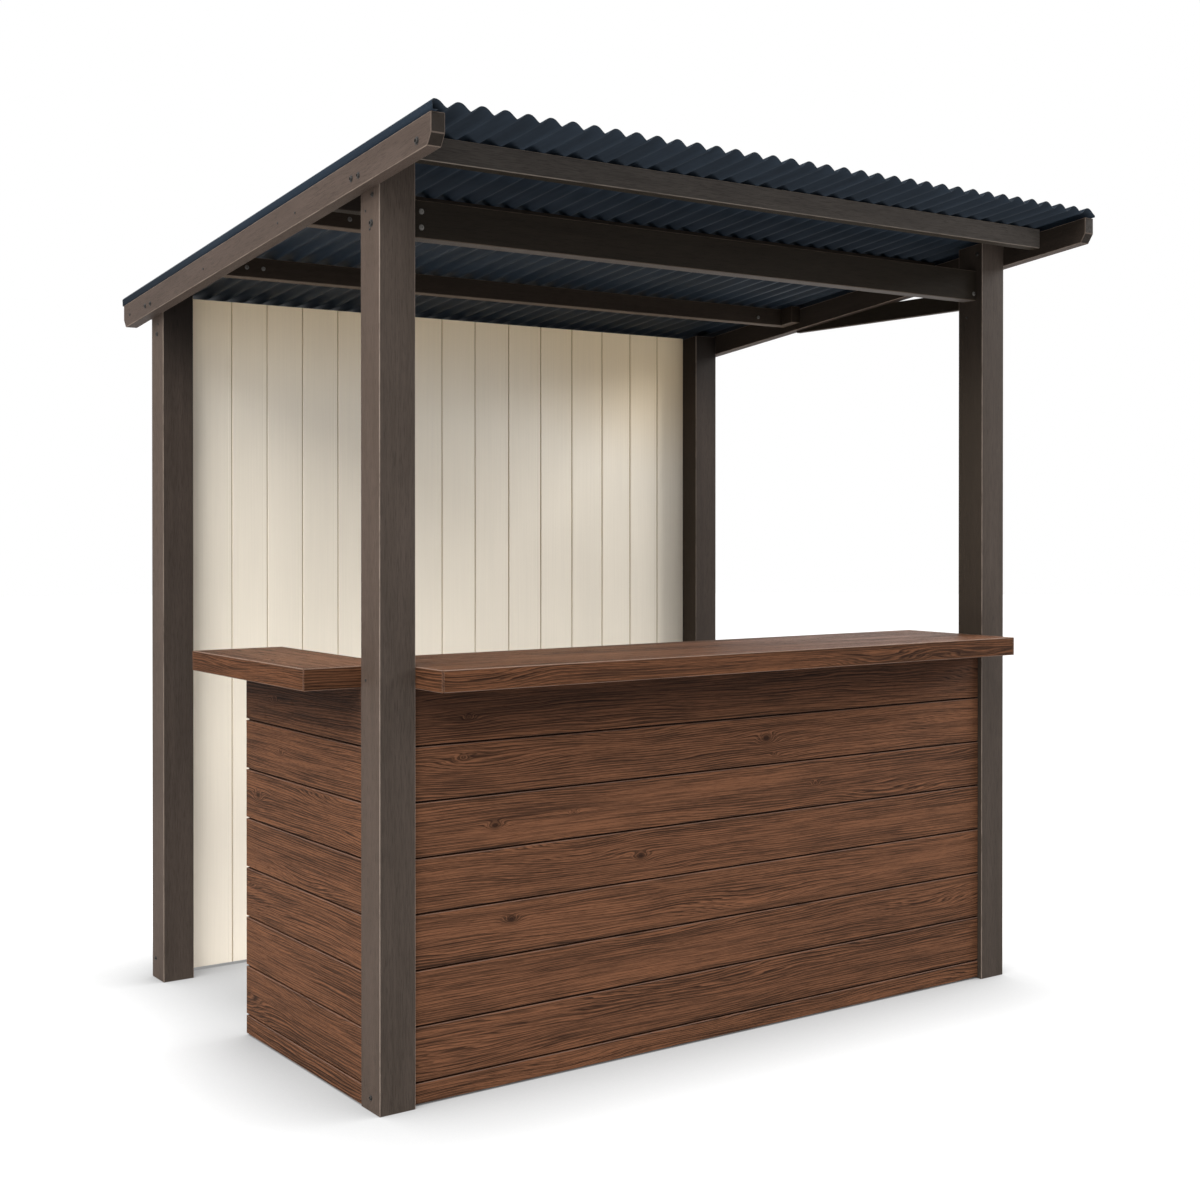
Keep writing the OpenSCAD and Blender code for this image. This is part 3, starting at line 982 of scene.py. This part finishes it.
# radius and height in millimetres; the last bands are the washer's edge and the socket, dark
# with soot and painted shade
WASHER = ((10.0, 0.0), (10.0, 0.5), (9.6, 0.8))
HEAD = ((7.0, 0.0), (7.0, 1.4), (6.4, 2.8), (5.2, 3.5), (4.2, 3.5), (3.9, 1.2))
HEAD_SEAT = 0.7
SCREW = 3.6 * MM
SCREW_HEAD = ((1.0, 0.0), (0.92, 0.3), (0.66, 0.52), (0.3, 0.56), (0.24, 0.2))


def bolt(stock, at, out, size=1.0):
    """A domed head with a socket, on a thin washer."""
    stock.turned(at, out, [(r * MM * size, h * MM) for r, h in WASHER], dark=3)
    stock.turned(
        Vector(at) + Vector(out) * HEAD_SEAT * MM, out,
        [(r * MM * size, h * MM * size) for r, h in HEAD],
        spin=chance.uniform(0, 1), dark=1,
    )


def screw(stock, at, out):
    """A small round-headed screw."""
    outline = [(SCREW * r, SCREW * h) for r, h in SCREW_HEAD]
    stock.turned(at, out, outline, sides=16, dark=4)


post_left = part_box("post_front_left")
post_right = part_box("post_front_right")
rear_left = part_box("post_back_left")
mid_x = (post_left[0].x + post_right[1].x) / 2
mid_y = (post_left[0].y + rear_left[1].y) / 2
out_left, out_right, out_front = Vector((-1, 0, 0)), Vector((1, 0, 0)), Vector((0, -1, 0))
outer_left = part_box("rafter_left")[0].x
outer_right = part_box("rafter_right")[1].x

# distances back from the frame's middle, heights in millimetres, and sizes
RAFTER_BOLTS = (
    (-1040, 2337, 1.0), (-745, 2308, 0.85), (-707, 2306, 0.85),
    (692, 2150, 0.8), (737, 2147, 0.8), (878, 2134, 0.55),
)
RAFTER_SCREWS = ((-381, 2272), (-272, 2261), (253, 2204))
POST_BOLTS = (
    (-746, 2265, 0.7), (-740, 2196, 1.0), (-735, 35, 0.7), (735, 2060, 0.8), (752, 64, 0.7),
)
POST_SCREWS = ((-710, 2230), (-709, 1066), (-733, 2182), (726, 2091))
WASHER_ROOM = 10 * MM


def on_frame(x, y, z):
    """A place from x in metres, and the distance back and the height in millimetres."""
    return (x, mid_y + y * MM, z * MM)


def bare(out, z):
    """Whether a bolt has room on this side of the posts: the tie covers the right."""
    below, above = tie_low.z - WASHER_ROOM, tie_high.z + WASHER_ROOM
    return out is out_left or not below <= z * MM <= above


stock = Stock()
for x, out in ((outer_left, out_left), (outer_right, out_right)):
    for y, z, size in RAFTER_BOLTS:
        bolt(stock, on_frame(x, y, z), out, size)
    for y, z in RAFTER_SCREWS:
        screw(stock, on_frame(x, y, z), out)
stock.made("rafter_bolts", DARK_ZINC, "fixings")

stock = Stock()
for x, out in ((post_left[0].x, out_left), (post_right[1].x, out_right)):
    for y, z, size in POST_BOLTS:
        if bare(out, z):
            bolt(stock, on_frame(x, y, z), out, size)
    for y, z in POST_SCREWS:
        if bare(out, z):
            screw(stock, on_frame(x, y, z), out)
bolt(stock, on_frame(outer_right, -713, 2196), out_right, 0.9)
bolt(stock, on_frame(post_right[0].x, -761, 2317), out_left, 0.7)
screw(stock, on_frame(post_right[0].x, -717, 2119), out_left)
stock.made("post_bolts", DARK_ZINC, "fixings")

# the beam, distances right of the frame's middle, heights and sizes
BEAM_BOLTS = (
    ("header_front", -994, 2236, 0.74), ("header_front", -994, 2196, 0.74),
    ("header_front", 1013, 2190, 0.74),
    ("purlin_lower", -1027, 2221, 0.7), ("purlin_lower", -974, 2221, 0.7),
    ("purlin_lower", 975, 2215, 0.7),
    ("purlin_upper", -978, 2282, 0.7), ("purlin_upper", 975, 2282, 0.7),
)
stock = Stock()
for beam, x, z, size in BEAM_BOLTS:
    bolt(stock, (mid_x + x * MM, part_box(beam)[0].y, z * MM), out_front, size)
stock.made("beam_bolts", ZINC, "fixings")


# ---------------------------------------------------------------- studio

scene = bpy.context.scene

# seen from the front left, at a standing person's eye height
camera = bpy.data.objects.new("camera", bpy.data.cameras.new("camera"))
camera.data.lens = 49.86
camera.data.sensor_width = 36.0
camera.data.shift_y = -0.0566
camera.location = (-2.9658, -4.3327, 1.4545)
camera.rotation_euler = (math.radians(89.72), 0.0, math.radians(-35.157))
scene.collection.objects.link(camera)
scene.camera = camera

LIT_POINT = Vector((0.0, 0.0, 1.1))
LAMP_DISTANCE = 14.0


def lamp(name, bearing, height, size, level):
    """A soft box; level 1 lights a facing surface to about its own colour."""
    data = bpy.data.lights.new(name, "AREA")
    data.shape = "RECTANGLE"
    data.size, data.size_y = size
    data.energy = level * math.pi ** 2 * LAMP_DISTANCE ** 2
    light = bpy.data.objects.new(name, data)
    b, h = math.radians(bearing), math.radians(height)
    out = Vector((math.sin(b) * math.cos(h), -math.cos(b) * math.cos(h), math.sin(h)))
    light.location = LIT_POINT + out * LAMP_DISTANCE
    light.rotation_euler = out.to_track_quat("Z", "Y").to_euler()
    scene.collection.objects.link(light)


lamp("key", -68, 46, (13.0, 9.0), 1.35)
lamp("low_left", -78, 17, (9.0, 3.0), 0.15)
lamp("right", 78, 26, (11.0, 6.0), 1.37)
lamp("front", -35, 9, (8.0, 3.0), 0.1)

# the room is white to look at, and lights the kiosk only faintly
ROOM_LIGHT = 0.12
room = bpy.data.worlds.new("room")
scene.world = room
room.use_nodes = True
air = Nodes(room.node_tree, "Background")
air.skin.inputs["Color"].default_value = (1.0, 1.0, 1.0, 1.0)
air.put(Strength=air.shown() * (1.0 - ROOM_LIGHT) + ROOM_LIGHT)

FLOOR_RADIUS = 30.0
FLOOR_GREY = 0.8
SHADOW_REACH = 0.52


def studio_paint(name):
    """Grey to the lamps, and white to look at apart from the kiosk's shadow.

    The shadow is painted: ambient occlusion dims the white glow, deepest in the staff's
    doorway and fading out beyond the posts; the lamps' real shadow shows only faintly in the
    grey.
    """
    f = Finish(name, (FLOOR_GREY,) * 3, Roughness=0.9, Specular_IOR_Level=0.1)
    shown = f.shown()
    spot = f.node("NewGeometry", {}, out=0)
    flat = f.node("VectorMath", {"operation": "ABSOLUTE"}, spot * (0.87, 1.08, 0.0))
    aside, behind, _ = flat.parts()
    reach = f.node("Math", {"operation": "MAXIMUM"}, aside, behind)
    doorway = f.node(
        "VectorMath", {"operation": "DISTANCE"},
        spot * (1.0, 0.6, 0.0), (-0.85, 0.21, 0.0), out=1,
    )
    # painted shadow: how white the floor glows, least in the staff's doorway and most beyond
    # the posts
    far = reach.clipped(0.95, 1.5) * 0.2 + doorway.clipped(-0.25, 0.55) * 0.7 + 0.17
    open_air = f.node(
        "AmbientOcclusion", {"samples": 16}, (1.0, 1.0, 1.0), SHADOW_REACH, out=1,
    )
    white = far * open_air * shown
    grey = FLOOR_GREY - shown * 0.65
    f.skin.inputs["Emission Strength"].default_value = 1.0
    f.put(
        Base_Color=f.node("CombineColor", {}, grey, grey, grey),
        Emission_Color=f.node("CombineColor", {}, white, white, white),
    )
    return f.material


disc = bmesh.new()
bmesh.ops.create_circle(disc, cap_ends=True, radius=FLOOR_RADIUS, segments=96)
data = bpy.data.meshes.new("studio_floor")
disc.to_mesh(data)
disc.free()
floor = bpy.data.objects.new("studio_floor", data)
data.materials.append(studio_paint("studio_floor"))
scene.collection.objects.link(floor)

scene.view_settings.view_transform = "Standard"
